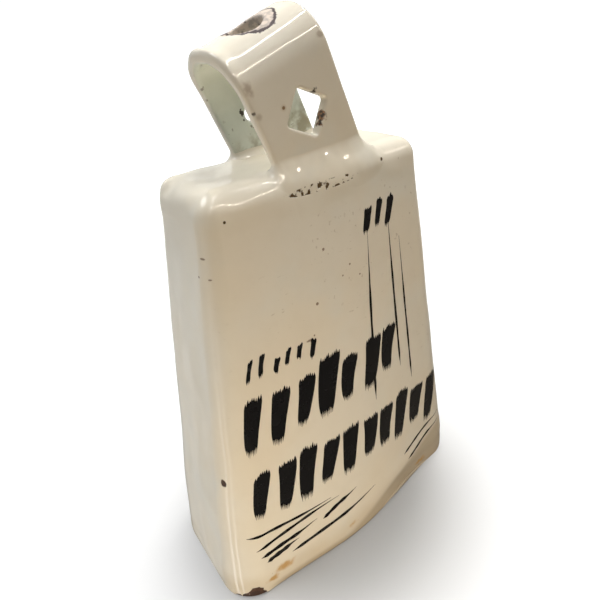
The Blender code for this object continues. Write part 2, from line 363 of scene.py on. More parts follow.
def body_field(p):
    """Signed distance to the body's closed end and wall, near the bracket's feet."""
    x, y, z = p[..., 0], np.abs(p[..., 1]), p[..., 2]
    wide, deep, _, bow = section(np.minimum(z, BELL_HEIGHT), 0.0)
    front = deep + bow * (1 + np.cos(math.pi * np.clip(x / wide, -1, 1))) / 2
    qy = y - (front - TOP_ROUNDING)
    qz = z - JOINT_HEIGHT
    outside = np.hypot(np.maximum(qy, 0), np.maximum(qz, 0))
    return outside + np.minimum(np.maximum(qy, qz), 0) - TOP_ROUNDING - relief(p)


def to_bracket(p):
    """World points in the bracket's own axes."""
    return p @ TO_BRACKET[:3, :3].T + TO_BRACKET[:3, 3]


def strap_field(q, leg_end):
    """Signed distance to the bent strap, in the bracket's own axes, without its holes."""
    x, y, z = np.abs(q[..., 0]), np.abs(q[..., 1]), q[..., 2]
    flat = BRACKET_DEPTH / 2 - BRACKET_BEND
    bend_z = BRACKET_HEIGHT - BRACKET_BEND
    middle = BRACKET_BEND - STRAP_THICKNESS / 2
    away = np.hypot(np.maximum(y - flat, 0), np.maximum(z - bend_z, 0))
    across = np.abs(away - middle) - STRAP_THICKNESS / 2
    parts = np.stack([across, x - STRAP_WIDTH / 2, leg_end - z], -1) + STRAP_EDGE
    return np.linalg.norm(np.maximum(parts, 0), axis=-1) + np.minimum(parts.max(-1), 0) - STRAP_EDGE


def bracket_relief(q):
    """Enamel on the strap: it gathers in a thick bead along the crown's left end."""
    x, z = q[..., 0], q[..., 2]
    bead = rise(-x, 9.5 * MM, 13.5 * MM) * rise(z, 24 * MM, 33 * MM)
    soft = 0.035 * waves(q, 17 * MM, 31) + 0.02 * waves(q, 8 * MM, 32)
    return (soft + bead * (0.42 + 0.10 * waves(q, 6 * MM, 34))) * MM


def holes_field(q):
    """Signed distance to the rod's diamond holes and the clamp screw's round one."""
    x, y, z = q[..., 0], q[..., 1], q[..., 2] - ROD_HEIGHT
    ease = np.where(y > 0, BACK_HOLE_CORNER, FRONT_HOLE_CORNER)
    over, up = x - ROD_HOLE_RIGHT, z + ROD_HOLE_DOWN
    a = np.abs(over + up) / math.sqrt(2) - ROD_HOLE_SIDE / 2 + ease
    b = np.abs(over - up) / math.sqrt(2) - ROD_HOLE_SIDE / 2 + ease
    diamond = np.hypot(np.maximum(a, 0), np.maximum(b, 0)) + np.minimum(np.maximum(a, b), 0) - ease
    lumpy = 0.12 * MM * waves(q, 5 * MM, 33)
    screw = np.maximum(np.hypot(x, y) - SCREW_HOLE_RADIUS + lumpy, 24 * MM - q[..., 2])
    return np.minimum(diamond, screw)


def round_union(a, b, radius):
    """a and b joined, the corner between them filled."""
    u = np.maximum(radius - a, 0)
    v = np.maximum(radius - b, 0)
    return np.maximum(radius, np.minimum(a, b)) - np.hypot(u, v)


def round_cut(a, b, radius):
    """a with b taken away, its new edges rounded."""
    u = np.maximum(radius + a, 0)
    v = np.maximum(radius - b, 0)
    return np.minimum(-radius, np.maximum(a, -b)) + np.hypot(u, v)


def gradient(field, p, step=0.02 * MM):
    """Which way a field grows at points, and how fast."""
    parts = []
    for axis in range(3):
        shift = np.zeros(3)
        shift[axis] = step
        parts.append((field(p + shift) - field(p - shift)) / (2 * step))
    return np.stack(parts, -1)


def net(field, low, high, step):
    """Vertices and faces of a field's zero surface: one vertex per cell it crosses, pulled on to it."""
    counts = [int(math.ceil((b - a) / step)) + 1 for a, b in zip(low, high)]
    axes = [a + step * np.arange(n) for a, n in zip(low, counts)]
    points = np.stack(np.meshgrid(*axes, indexing="ij"), -1)
    value = field(points)
    inside = value < 0
    cells = [n - 1 for n in counts]
    total = np.zeros(cells + [3])
    found = np.zeros(cells)
    for axis in range(3):
        one = [slice(None)] * 3
        two = [slice(None)] * 3
        one[axis], two[axis] = slice(0, -1), slice(1, None)
        a, b = value[tuple(one)], value[tuple(two)]
        crosses = inside[tuple(one)] != inside[tuple(two)]
        share = np.where(crosses, a / np.where(crosses, a - b, 1), 0)
        spot = points[tuple(one)].copy()
        spot[..., axis] += share * step
        others = [k for k in range(3) if k != axis]
        for i in (0, 1):
            for j in (0, 1):
                pick = [slice(0, cells[k]) for k in range(3)]
                pick[others[0]] = slice(i, i + cells[others[0]])
                pick[others[1]] = slice(j, j + cells[others[1]])
                pick = tuple(pick)
                total += np.where(crosses[pick][..., None], spot[pick], 0)
                found += crosses[pick]
    used = found > 0
    index = np.full(cells, -1)
    index[used] = np.arange(used.sum())
    verts = total[used] / found[used][:, None]
    faces = []
    for axis in range(3):
        u, v = [k for k in range(3) if k != axis]
        one = [slice(1, n - 1) for n in counts]
        two = [slice(1, n - 1) for n in counts]
        one[axis], two[axis] = slice(0, -1), slice(1, None)
        first, second = inside[tuple(one)], inside[tuple(two)]
        where = np.argwhere(first != second)
        starts_in = first[tuple(where.T)]
        ring = []
        for du, dv in ((0, 0), (1, 0), (1, 1), (0, 1)):
            cell = where.copy()
            cell[:, u] += du
            cell[:, v] += dv
            ring.append(index[tuple(cell.T)])
        quad = np.stack(ring, -1)
        flip = starts_in if axis != 1 else ~starts_in
        quad[~flip] = quad[~flip][:, ::-1]
        faces.append(quad)
    return verts, np.concatenate(faces)


def settle(field, verts, reach, rounds=4):
    """Pulls vertices on to the zero surface of a smooth field, no further than reach."""
    start = verts.copy()
    for _ in range(rounds):
        g = gradient(field, verts)
        size = np.maximum((g * g).sum(-1), 0.2)
        move = -(field(verts) / size)[:, None] * g
        verts = verts + move
        away = verts - start
        far = np.linalg.norm(away, axis=-1, keepdims=True)
        verts = start + away * np.minimum(1, reach / np.maximum(far, 1e-12))
    return verts


def unit(v):
    """Vectors brought to length 1."""
    return v / np.maximum(np.linalg.norm(v, axis=-1, keepdims=True), 1e-12)


def field_piece(name, field, low, high, step, material):
    """A closed mesh of a field's solid, found in a box on a grid of this step."""
    verts, faces = net(field, low, high, step)
    verts = settle(field, verts, 0.6 * step)
    normals = unit(gradient(field, verts, 0.05 * MM))
    return mesh_object(name, verts, faces.tolist(), normals, material)


def bracket_field(q):
    """The strap with its holes, its legs ending just under the enamel of the bell's closed end."""
    whole = round_cut(strap_field(q, LEG_END) - bracket_relief(q), holes_field(q), HOLE_EASE)
    low = q[..., 2] < 8 * MM
    p = q[low] @ TO_BRACKET[:3, :3] + np.array(TO_WORLD.translation)
    whole[low] = np.maximum(whole[low], -LEG_COVER - body_field(p))
    return whole


def weld_radius(p):
    """The fillet's radius round a foot: fuller in front and on the right, slacker on the left."""
    x, y = p[..., 0], np.abs(p[..., 1])
    outward = rise(y, 9 * MM, 13 * MM)
    base = 2.4 + 1.8 * outward + 1.4 * rise(x, 6 * MM, 17 * MM)
    return (base + 0.5 * waves(p, 12 * MM, 41)) * MM


def weld_field(side):
    """A foot's two fields (side -1 in front, 1 behind): its skin with the fillet, and the closed weld."""

    def leg(p):
        q = to_bracket(p)
        own = np.where(side * q[..., 1] > 0, 0.0, 20 * MM)
        return strap_field(q, LEG_END) - bracket_relief(q) + own

    def joined(p):
        body, strap, radius = body_field(p), leg(p), weld_radius(p)
        lumps = (0.17 + 0.16 * waves(p, 6.5 * MM, 42) + 0.07 * waves(p, 3.8 * MM, 43)) * MM
        near = rise(radius - np.maximum(np.abs(body), np.abs(strap)), 0.0, 3.0 * MM)
        return round_union(body, strap, radius) - lumps * near + WELD_SINK

    def whole(p):
        body, strap, radius = body_field(p), leg(p), weld_radius(p)
        reach = np.maximum(body, strap) - radius - 0.5 * MM
        depth = np.maximum(-1.3 * MM - body, -1.1 * MM - strap)
        return np.maximum(joined(p), np.maximum(reach, depth))

    return joined, whole


def foot_weld(name, side, material):
    """The weld round one foot. Only its skin is settled; its hidden sides stay as the grid gives them."""
    joined, whole = weld_field(side)
    low, high = FRONT_FOOT_BOX if side < 0 else BACK_FOOT_BOX
    verts, faces = net(whole, low, high, FOOT_CELL)
    on_skin = np.abs(joined(verts)) < 0.12 * MM
    verts[on_skin] = settle(joined, verts[on_skin], 0.2 * MM)
    normals = unit(gradient(whole, verts, 0.05 * MM))
    normals[on_skin] = unit(gradient(joined, verts[on_skin], 0.05 * MM))
    return mesh_object(name, verts, faces.tolist(), normals, material)


# -------- materials

MIX_A, MIX_B, MIX_RESULT = 6, 7, 2  # where the Mix node keeps its colour sockets


class Graph:
    """The nodes of a material or the world, with short names for what is used again and again."""

    def __init__(self, owner, shader="Principled BSDF", coordinates="Object"):
        owner.use_nodes = True
        self.owner = owner
        self.tree = owner.node_tree
        self.shader = self.tree.nodes[shader]
        self.place = self.tree.nodes.new("ShaderNodeTexCoord").outputs[coordinates]

    def put(self, value, socket):
        """Links a socket, or sets a constant."""
        if isinstance(value, bpy.types.NodeSocket):
            self.tree.links.new(value, socket)
        else:
            socket.default_value = value

    def node(self, kind, sockets, output, **settings):
        """A new node with its sockets linked or set; gives back one of its outputs."""
        node = self.tree.nodes.new("ShaderNode" + kind)
        for name, setting in settings.items():
            setattr(node, name, setting)
        for socket, value in sockets.items():
            self.put(value, node.inputs[socket])
        return node.outputs[output]

    def math(self, operation, a, b=0.0, clamp=False):
        return self.node("Math", {0: a, 1: b}, 0, operation=operation, use_clamp=clamp)

    def vector(self, operation, a, b):
        return self.node("VectorMath", {0: a, 1: b}, 0, operation=operation)

    def length(self, vector):
        return self.node("VectorMath", {0: vector}, "Value", operation="LENGTH")

    def scale(self, vector, factor):
        return self.node("VectorMath", {0: vector, "Scale": factor}, 0, operation="SCALE")

    def noise(self, size, detail=3.0, stretch=None, shift=0.0):
        """Noise of about 0 to 1, with features of about this size in mm."""
        where = self.place
        if stretch:
            where = self.vector("MULTIPLY", where, stretch)
        if shift:
            where = self.vector("ADD", where, (shift, shift, shift))
        return self.node("TexNoise", {"Vector": where, "Scale": 1.0 / (size * MM), "Detail": detail}, "Fac")

    def ramp(self, value, low, high, start=0.0, end=1.0, kind="SMOOTHSTEP"):
        """start where a value is under low, end where it is over high, smooth in between."""
        sockets = {"Value": value, "From Min": low, "From Max": high, "To Min": start, "To Max": end}
        return self.node("MapRange", sockets, "Result", interpolation_type=kind)

    def axis(self, which):
        return self.node("SeparateXYZ", {0: self.place}, which)

    def patches(self, size, low, high, detail=3.0, shift=0.0, start=0.0, end=1.0, stretch=None):
        """Noise made into patches: start where it is under low, end where it is over high."""
        return self.ramp(self.noise(size, detail, stretch, shift), low, high, start, end)

    def chain(self, operation, values):
        total = values[0]
        for value in values[1:]:
            total = self.math(operation, total, value)
        return total

    def product(self, *values):
        return self.chain("MULTIPLY", values)

    def most(self, *values):
        return self.chain("MAXIMUM", values)

    def spot(self, centre, radius, soft=0.3, stretch=(1, 1, 1), wobble=0.0, grain=2.0):
        """1 inside a spot, 0 outside, with a ragged edge. Lengths are in mm; grain is its ripples' size."""
        away = self.vector("SUBTRACT", self.place, tuple(c * MM for c in centre))
        away = self.vector("MULTIPLY", away, stretch)
        length = self.length(away)
        if wobble:
            ragged = self.math("SUBTRACT", self.noise(grain, 2.0), 0.5)
            length = self.math("ADD", length, self.math("MULTIPLY", ragged, 2 * wobble * MM))
        return self.ramp(length, radius * MM * (1 - soft), radius * MM, 1.0, 0.0)

    def spots(self, rows):
        """Several spots together. Each row has what spot takes, in the same order."""
        return self.most(*[self.spot(*row) for row in rows])

    def mix(self, share, a, b):
        """The colour a where share is 0, b where it is 1."""
        a, b = [(*c, 1.0) if isinstance(c, tuple) else c for c in (a, b)]
        return self.node("Mix", {"Factor": share, MIX_A: a, MIX_B: b}, MIX_RESULT, data_type="RGBA")

    def attribute(self, name):
        return self.node("Attribute", {}, "Fac", attribute_name=name)

    def bump(self, height, distance, strength=1.0, normal=None, invert=False):
        sockets = {"Strength": strength, "Distance": distance, "Height": height}
        if normal is not None:
            sockets["Normal"] = normal
        return self.node("Bump", sockets, "Normal", invert=invert)


IVORY, WARM, COOL = (0.745, 0.705, 0.62), (0.75, 0.69, 0.58), (0.72, 0.715, 0.66)
HAZE, FLECK = (0.60, 0.54, 0.43), (0.20, 0.14, 0.09)
# the first two colours on the next line are painted shade, for the lip and for under the fold and along the
# mouth; the third is real stains
LIP_SHADE, PAINTED_SHADE, AMBER = (0.56, 0.46, 0.31), (0.43, 0.355, 0.25), (0.52, 0.30, 0.09)
SCUFF, DUST, MARK = (0.30, 0.23, 0.16), (0.26, 0.18, 0.11), (0.16, 0.095, 0.06)
PINHOLE = (0.10, 0.065, 0.035)
BARE, BARE_LIGHT = (0.045, 0.022, 0.016), (0.10, 0.05, 0.032)
INSIDE_PALE, INSIDE_DARK, INSIDE_SEAM = (0.63, 0.60, 0.52), (0.42, 0.37, 0.28), (0.52, 0.48, 0.40)
# painted shade: the two greys of the strap's inside
STRAP_SHADE_PALE, STRAP_SHADE_GREY = (0.70, 0.74, 0.67), (0.62, 0.66, 0.59)
GRIME, DOT = (0.27, 0.24, 0.15), (0.12, 0.09, 0.06)
STEEL_PALE, STEEL_GREY, STEEL_DARK = (0.64, 0.545, 0.47), (0.42, 0.36, 0.32), (0.09, 0.065, 0.065)
# painted shade for the outline round the screw hole's chipped edge
HOLE_OUTLINE_SHADE = (0.060, 0.040, 0.042)
SOOT, RUST = (0.035, 0.026, 0.02), (0.30, 0.15, 0.07)
HALO, BROWN = (0.50, 0.40, 0.26), (0.20, 0.11, 0.05)
INK_BLUE, INK_BLACK = (0.004, 0.005, 0.007), (0.010, 0.010, 0.012)

# Spots on the body: centre, radius, softness, stretch and wobble, as spot takes them.
STAINS = (
    ((-33.0, -22.0, 6.9), 2.3, 0.8, (0.5, 1, 1.0), 1.2),
    ((-37.2, -21.6, 5.0), 1.7, 0.8, (0.5, 1, 1.1), 1.2),
    ((-7.4, -23.9, 5.2), 1.9, 0.8, (0.55, 1, 1), 1.2),
    ((31.0, -22.2, 3.2), 2.0, 0.8, (0.5, 1, 1), 1.2),
)
MARKS = (
    ((-31.5, -14.2, 119.9), 0.45),
    ((-8.95, -17.3, 89.1), 0.55, 0.3, (1, 1, 1), 0.3),
    ((-4.7, -16.4, 104.1), 0.45, 0.3, (1, 1, 1), 0.3),
    ((-13.3, -17.9, 79.1), 0.7, 0.6, (0.4, 1, 1.2), 0.6),
    ((-11.3, -17.9, 80.0), 0.4, 0.5),
    ((-37.1, -13.3, 106.4), 0.5, 0.6, (0.35, 1, 1.6), 0.4),
    ((-37.5, -11.8, 111.7), 0.5, 0.6, (0.35, 0.6, 1.6), 0.4),
    ((-38.6, -10.1, 106.6), 0.45, 0.5),
    ((4.0, -17.0, 96.5), 0.4),
    ((7.5, -17.3, 92.0), 0.35),
    ((1.0, -17.1, 94.0), 0.35),
)
FOOT_CHIP = ((19.8, -14.2, 123.2), 0.8, 0.4, (1, 1, 1), 0.4)
SIDE_CHIP = ((-44.4, -14.2, 44.3), 1.0, 0.25, (1.0, 1.0, 0.75), 0.5)

# Spots on the strap, in its own axes.
STRAP_RUST = (
    ((4.2, -11.2, 10.8), 1.5, 0.4, (1, 0.7, 0.8), 1.0, 1.2),
    ((2.9, -11.2, 9.2), 0.9, 0.4, (1, 0.7, 1), 0.8, 1.2),
    ((5.1, -11.4, 12.6), 0.8, 0.4, (1, 1, 1), 0.6),
)
STRAP_CHIPS = (
    ((4.8, -11.2, 17.7), 1.0, 0.4, (0.8, 0.8, 1), 0.8, 1.0),
    ((3.5, -11.2, 18.9), 0.5, 0.4, (1, 1, 1), 0.9, 1.0),
    ((6.1, -11.2, 16.4), 0.7, 0.4, (1, 1, 1), 0.7, 1.0),
    ((-13.1, -11.8, 21.7), 0.55, 0.7, (1, 1, 1), 0.6, 1.0),
    ((-6.0, 9.3, 15.8), 0.6, 0.3, (0.8, 1, 0.6), 0.9, 1.0),
    ((-6.6, 9.2, 13.6), 0.45, 0.5, (1, 1, 1), 0.8, 1.0),
    ((-12.9, -9.6, 27.6), 0.5, 0.3, (1, 0.6, 1), 0.5, 1.0),
    ((-12.8, -6.0, 33.2), 0.35),
    ((-2.0, -11.4, 8.2), 0.4, 0.3, (1, 1, 1), 0.5),
)
STRAP_BROWN = (  # each with how strong it is
    (1.0, ((-5.4, -12.1, 18.7), 0.55, 0.4)),
    (0.5, ((12.1, -12.0, 28.6), 1.3, 0.8, (1, 1, 1), 0.8)),
    (0.55, ((-12.0, -12.0, 27.5), 1.6, 0.8, (1, 1, 0.6), 1.2)),
    (0.4, ((-12.4, -12.0, 20.3), 1.2, 0.9, (1, 1, 1), 0.8)),
)


def enamel(g):
    """The plain coat: ivory glass with faint clouds, tiny flecks and a slightly uneven skin."""
    colour = g.mix(g.patches(38, 0.35, 0.65, 2.0), IVORY, WARM)
    colour = g.mix(g.patches(21, 0.5, 0.75, 3.0, 3.0, 0.0, 0.6), colour, COOL)
    colour = g.mix(g.patches(5, 0.35, 0.8, 5.0, 5.0, 0.0, 0.10), colour, HAZE)
    cluster = g.patches(26, 0.54, 0.68, 2.0, 1.0)
    fleck = g.product(g.patches(0.9, 0.79, 0.83, 1.0, 7.0), cluster)
    colour = g.mix(g.product(fleck, 0.75), colour, FLECK)
    rough = g.patches(17, 0.3, 0.8, 4.0, 2.0, 0.04, 0.11)
    skin = g.bump(g.noise(7, 1.0, shift=4.0), 0.06 * MM, 0.35)
    skin = g.bump(g.noise(1.6, 2.0, shift=6.0), 0.012 * MM, 0.35, skin)
    return colour, rough, skin


def close(g, colour, rough, normal):
    """Connects the enamel's sockets; its index of refraction is that of glass."""
    g.put(colour, g.shader.inputs["Base Color"])
    g.put(rough, g.shader.inputs["Roughness"])
    g.put(normal, g.shader.inputs["Normal"])
    g.shader.inputs["IOR"].default_value = 1.52
    return g.owner


def shell_enamel():
    """The body: its lip painted darker tan as shade, amber stains near the mouth, painted shade under the
    front's fold and along its edge, scuffs, marks and bare chips outside, dull and dusty inside.
    """
    g = Graph(bpy.data.materials.new("shell_enamel"))
    colour, rough, skin = enamel(g)
    x, y, z = g.axis("X"), g.axis("Y"), g.axis("Z")
    front = g.ramp(y, -12 * MM, -14 * MM)
    # painted shade: the lip painted darker tan where it turns in, and a brown painted shade under the
    # front's fold and along its edge
    ragged = g.math("ADD", z, g.product(g.noise(9, 2.0), 4 * MM))
    lip = g.ramp(ragged, 7 * MM, 12.5 * MM, 0.42, 0.0)
    off_seams = g.ramp(g.math("ABSOLUTE", y), 3 * MM, 12 * MM)
    facing = g.ramp(y, -13 * MM, -20 * MM)
    uneven = g.patches(13, 0.25, 0.7, 3.0, 8.0, 0.45, 1.0)
    colour = g.mix(g.product(lip, off_seams, uneven), colour, LIP_SHADE)
    # a band of painted shade below the front's fold, and a strip of painted shade just above the mouth
    fold = g.math("ADD", g.product(x, 0.27), 5.2 * MM)
    under = g.ramp(g.math("SUBTRACT", z, fold), -2.2 * MM, 0.9 * MM, 1.0, 0.0)
    under = g.product(under, facing, g.ramp(x, -22 * MM, -6 * MM))
    edge = g.product(g.ramp(z, 0.8 * MM, 3.4 * MM, 0.85, 0.0), facing, g.ramp(x, -42 * MM, -33 * MM))
    colour = g.mix(g.most(g.product(under, 0.72), edge), colour, PAINTED_SHADE)
    stains = g.spots(STAINS)
    colour = g.mix(g.product(stains, 0.85), colour, AMBER)
    # scuffs, fine dust in the front's upper right, and single marks
    streaks = g.patches(2.2, 0.64, 0.74, 4.0, 9.0, stretch=(1.0, 1.0, 2.6))
    scuffs = g.product(streaks, g.patches(19, 0.54, 0.68, 1.0, 10.0))
    colour = g.mix(g.product(scuffs, 0.30, front), colour, SCUFF)
    upper = g.product(front, g.ramp(z, 78 * MM, 96 * MM), g.ramp(x, -16 * MM, -4 * MM))
    specks = g.patches(1.3, 0.66, 0.73, 1.5, 12.0)
    dust = g.product(specks, g.patches(8, 0.42, 0.6, 1.0, 13.0), upper)
    colour = g.mix(g.product(dust, 0.35), colour, DUST)
    colour = g.mix(g.product(g.spots(MARKS), 0.8), colour, MARK)
    # the line of pinholes along the seam under the strap, and a chip at its right foot
    line = g.spot((-1.0, -15.1, 121.8), 14.0, 0.12, (1, 0.6, 13.0))
    line = g.product(line, g.patches(0.75, 0.60, 0.68, 2.0, 14.0))
    colour = g.mix(g.most(line, g.spot(*FOOT_CHIP)), colour, PINHOLE)
    # bare steel where the enamel has gone
    chip = g.math("ADD", g.attribute("chip"), g.product(g.noise(0.9, 2.0), 0.3))
    bare = g.most(g.ramp(chip, 0.62, 0.70), g.spot(*SIDE_CHIP))
    colour = g.mix(bare, colour, g.mix(g.patches(1.8, 0.4, 0.7, 4.0, 15.0), BARE, BARE_LIGHT))
    # the inside of the bell, duller and dusty
    inside = g.attribute("inside")
    dull = g.mix(g.patches(11, 0.35, 0.75, 5.0, 16.0), INSIDE_PALE, INSIDE_DARK)
    colour = g.mix(inside, colour, dull)
    matt = g.most(bare, g.product(inside, 0.5), g.product(stains, 0.3), g.product(scuffs, 0.25))
    rough = g.math("ADD", rough, g.product(matt, 0.5), True)
    skin = g.bump(bare, 0.25 * MM, 0.8, skin, invert=True)
    return close(g, colour, rough, skin)


def weld_enamel():
    """The welds: the body's coat with the pinholes along the seam under the strap."""
    g = Graph(bpy.data.materials.new("weld_enamel"))
    colour, rough, skin = enamel(g)
    line = g.spot((-2.0, -15.1, 121.5), 12.5, 0.12, (1, 0.6, 9.0))
    line = g.product(line, g.patches(1.5, 0.52, 0.60, 2.0, 14.0))
    line = g.most(line, g.spot(*FOOT_CHIP), g.spot(*MARKS[0]))
    colour = g.mix(line, colour, PINHOLE)
    colour = g.mix(g.attribute("inside"), colour, INSIDE_SEAM)
    colour = g.mix(g.ramp(g.attribute("chip"), 0.4, 0.6), colour, BARE)
    skin = g.bump(line, 0.2 * MM, 0.7, skin, invert=True)
    return close(g, colour, rough, skin)


def past(g, value, limit):
    """How far a value is past a limit, or 0."""
    return g.math("MAXIMUM", g.math("SUBTRACT", value, limit), 0.0)


def bracket_enamel():
    """The strap, in its own axes: its inside painted greyer as shade, worn holes and a few chips."""
    g = Graph(bpy.data.materials.new("bracket_enamel"))
    colour, rough, skin = enamel(g)
    y, z = g.axis("Y"), g.axis("Z")
    # the strap's inside, within its bend, is painted greyer as shade; the grime and dots below keep to the
    # same part
    outward = past(g, g.math("ABSOLUTE", y), BRACKET_DEPTH / 2 - BRACKET_BEND)
    upward = past(g, z, BRACKET_HEIGHT - BRACKET_BEND)
    from_bend = g.length(g.node("CombineXYZ", {0: outward, 1: upward}, 0))
    within = g.ramp(from_bend, 8.1 * MM, 8.9 * MM, 1.0, 0.0)
    colour = g.mix(within, colour, g.mix(g.patches(9, 0.35, 0.7, 4.0, 20.0), STRAP_SHADE_PALE, STRAP_SHADE_GREY))
    low = g.ramp(z, 3 * MM, 12 * MM, 1.0, 0.0)
    grime = g.product(within, low, g.patches(3.5, 0.34, 0.60, 6.0, 21.0))
    colour = g.mix(g.product(grime, 0.85), colour, GRIME)
    cluster = g.patches(7, 0.45, 0.62, 1.0, 23.0)
    dots = g.product(within, g.patches(1.4, 0.63, 0.69, 2.0, 22.0), cluster)
    colour = g.mix(g.product(dots, 0.7), colour, DOT)
    # the clamp screw's hole: enamel gone from its edge, a dark outline painted as the shade along the
    # chipped edge, mottled steel inside
    from_hole = g.vector("MULTIPLY", g.vector("SUBTRACT", g.place, (1.5 * MM, -0.4 * MM, 0)), (1, 1, 0))
    ragged = g.product(g.math("SUBTRACT", g.noise(2.6, 3.0, shift=24.0), 0.5), 2.6 * MM)
    reach = g.math("ADD", g.length(from_hole), ragged)
    crown = g.ramp(z, 30 * MM, 32 * MM)
    outline_shade = g.product(g.ramp(reach, 7.2 * MM, 7.45 * MM, 1.0, 0.0), crown)
    worn = g.product(g.ramp(reach, 6.5 * MM, 6.8 * MM, 1.0, 0.0), crown)
    steel = g.mix(g.patches(1.5, 0.4, 0.6, 4.0, 25.0), STEEL_PALE, STEEL_GREY)
    steel = g.mix(g.patches(2.4, 0.60, 0.66, 3.0, 26.0), steel, STEEL_DARK)
    colour = g.mix(outline_shade, colour, HOLE_OUTLINE_SHADE)
    colour = g.mix(worn, colour, steel)
    # the rod's holes: rust on one inner edge, black chips above it
    rust = g.spots(STRAP_RUST)
    colour = g.mix(rust, colour, g.mix(g.patches(0.7, 0.40, 0.62), SOOT, RUST))
    chips = g.spots(STRAP_CHIPS)
    colour = g.mix(chips, colour, SOOT)
    # a brown spot with a halo, and fainter ones along the strap's edges
    colour = g.mix(g.product(g.spot((-5.4, -12.1, 18.7), 1.15, 0.8), 0.5), colour, HALO)
    brown = g.most(*[g.product(g.spot(*spot), strength) for strength, spot in STRAP_BROWN])
    colour = g.mix(g.product(brown, 0.85), colour, BROWN)
    matt = g.most(worn, outline_shade, rust, chips, g.product(grime, 0.6))
    rough = g.math("ADD", rough, g.product(matt, 0.45), True)
    skin = g.bump(g.most(outline_shade, chips, rust), 0.2 * MM, 0.7, skin, invert=True)
    return close(g, colour, rough, skin)


# -------- pieces

def finish_piece(piece, node):
    """Gives a piece its body and hides the CAD part it stands for."""
    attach(piece, "root")
    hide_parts(node)


body = Shell()
shell_skin, weld_skin, bracket_skin = shell_enamel(), weld_enamel(), bracket_enamel()
top_row = len(body.levels) - 1
ring_rows = (body.row(RING_LOW), body.row(RING_HIGH))
cap_rows = (ring_rows[1], top_row)
wall_rows = (0, ring_rows[0])
right = int(np.argmin(np.abs(body.station - 2)))  # the column of the right seam; the left one's is 0
last = len(body.station)
front_cols = np.arange(2, right - 1)
back_cols = np.arange(right + 2, last - 1)
left_cols = np.array([last - 2, last - 1, 0, 1, 2])
right_cols = np.arange(right - 2, right + 3)
for name, node, slot, rows, columns, skin in (
    ("front_shell_skin", "front_shell", "shell_enamel", wall_rows, front_cols, shell_skin),
    ("back_shell_skin", "back_shell", "shell_enamel", wall_rows, back_cols, shell_skin),
    ("left_seam_skin", "left_seam_weld", "weld_enamel", wall_rows, left_cols, weld_skin),
    ("right_seam_skin", "right_seam_weld", "weld_enamel", wall_rows, right_cols, weld_skin),
    ("cap_seam_skin", "cap_seam_weld", "weld_enamel", ring_rows, None, weld_skin),
    ("end_cap_skin", "end_cap", "shell_enamel", cap_rows, None, shell_skin),
):
    finish_piece(body.piece(name, rows, columns, skin), node)
strap = field_piece("bracket_skin", bracket_field, *BRACKET_BOX, BRACKET_CELL, bracket_skin)
strap.matrix_world = TO_WORLD
finish_piece(strap, "mounting_bracket")
finish_piece(foot_weld("front_foot_skin", -1, weld_skin), "front_foot_weld")
finish_piece(foot_weld("back_foot_skin", 1, weld_skin), "back_foot_weld")


# -------- printed brush strokes

INK_LIFT, INK_ROOT = 0.05 * MM, -0.04 * MM  # the ink's face above the enamel, its underside below
BRISTLE = 0.62  # width in mm of one bristle mark
BRUSH_ROWS = (  # first and last dab (mm along the face, mm up), how many, length, width, slant
    ((-35.0, 61.0), (17.0, 61.5), 7, 17.5, 6.2, 0.22),
    ((-36.5, 37.5), (36.5, 31.0), 10, 16.5, 5.8, 0.22),
    ((-32.5, 78.0), (-13.0, 76.5), 6, 4.8, 1.5, 0.25),
    ((12.5, 107.0), (22.0, 108.0), 3, 8.0, 2.4, 0.25),
)
SWEEPS = (  # from, to, greatest width, how far it bows
    ((-43.0, 24.5), (-14.0, 21.5), 0.9, -0.5),
    ((-41.0, 18.5), (-11.0, 20.5), 1.0, 0.6),
    ((-40.0, 15.5), (-20.0, 17.0), 1.3, -0.4),
    ((-38.5, 12.5), (-27.0, 14.0), 1.5, 0.2),
    ((-30.0, 10.5), (4.0, 14.0), 1.1, -0.6),
    ((-18.0, 15.5), (-4.0, 19.0), 1.3, 0.3),
    ((20.0, 15.0), (42.0, 20.0), 0.8, 0.5),
    ((22.0, 11.5), (42.0, 16.5), 0.8, 0.4),
    ((9.0, 46.0), (12.0, 104.0), 0.9, 0.0),
    ((22.0, 52.0), (21.0, 108.0), 0.8, 0.0),
    ((27.5, 44.0), (25.5, 98.0), 0.7, 0.0),
)


def on_front(along, height, lift):
    """Points of the broad front face, lifted off its enamel. along runs in mm from its middle."""
    along, height = along * MM, height * MM

    def plain(a, h):
        wide, deep, corner, bow = section(h, lip_inset(h))
        flat = wide - corner
        turn = np.clip((np.abs(a) - flat) / corner, 0, 1.4)
        x = np.sign(a) * (np.minimum(np.abs(a), flat) + corner * np.sin(turn))
        y = deep - corner * (1 - np.cos(turn))
        y = y + bow * (1 + np.cos(math.pi * x / wide)) / 2 * y / deep
        return np.stack([x, -y, h], -1)

    p = plain(along, height)
    step = 0.1 * MM
    n = unit(np.cross(plain(along + step, height) - p, plain(along, height + step) - p))
    return p + n * (relief(p) + lift)[..., None]


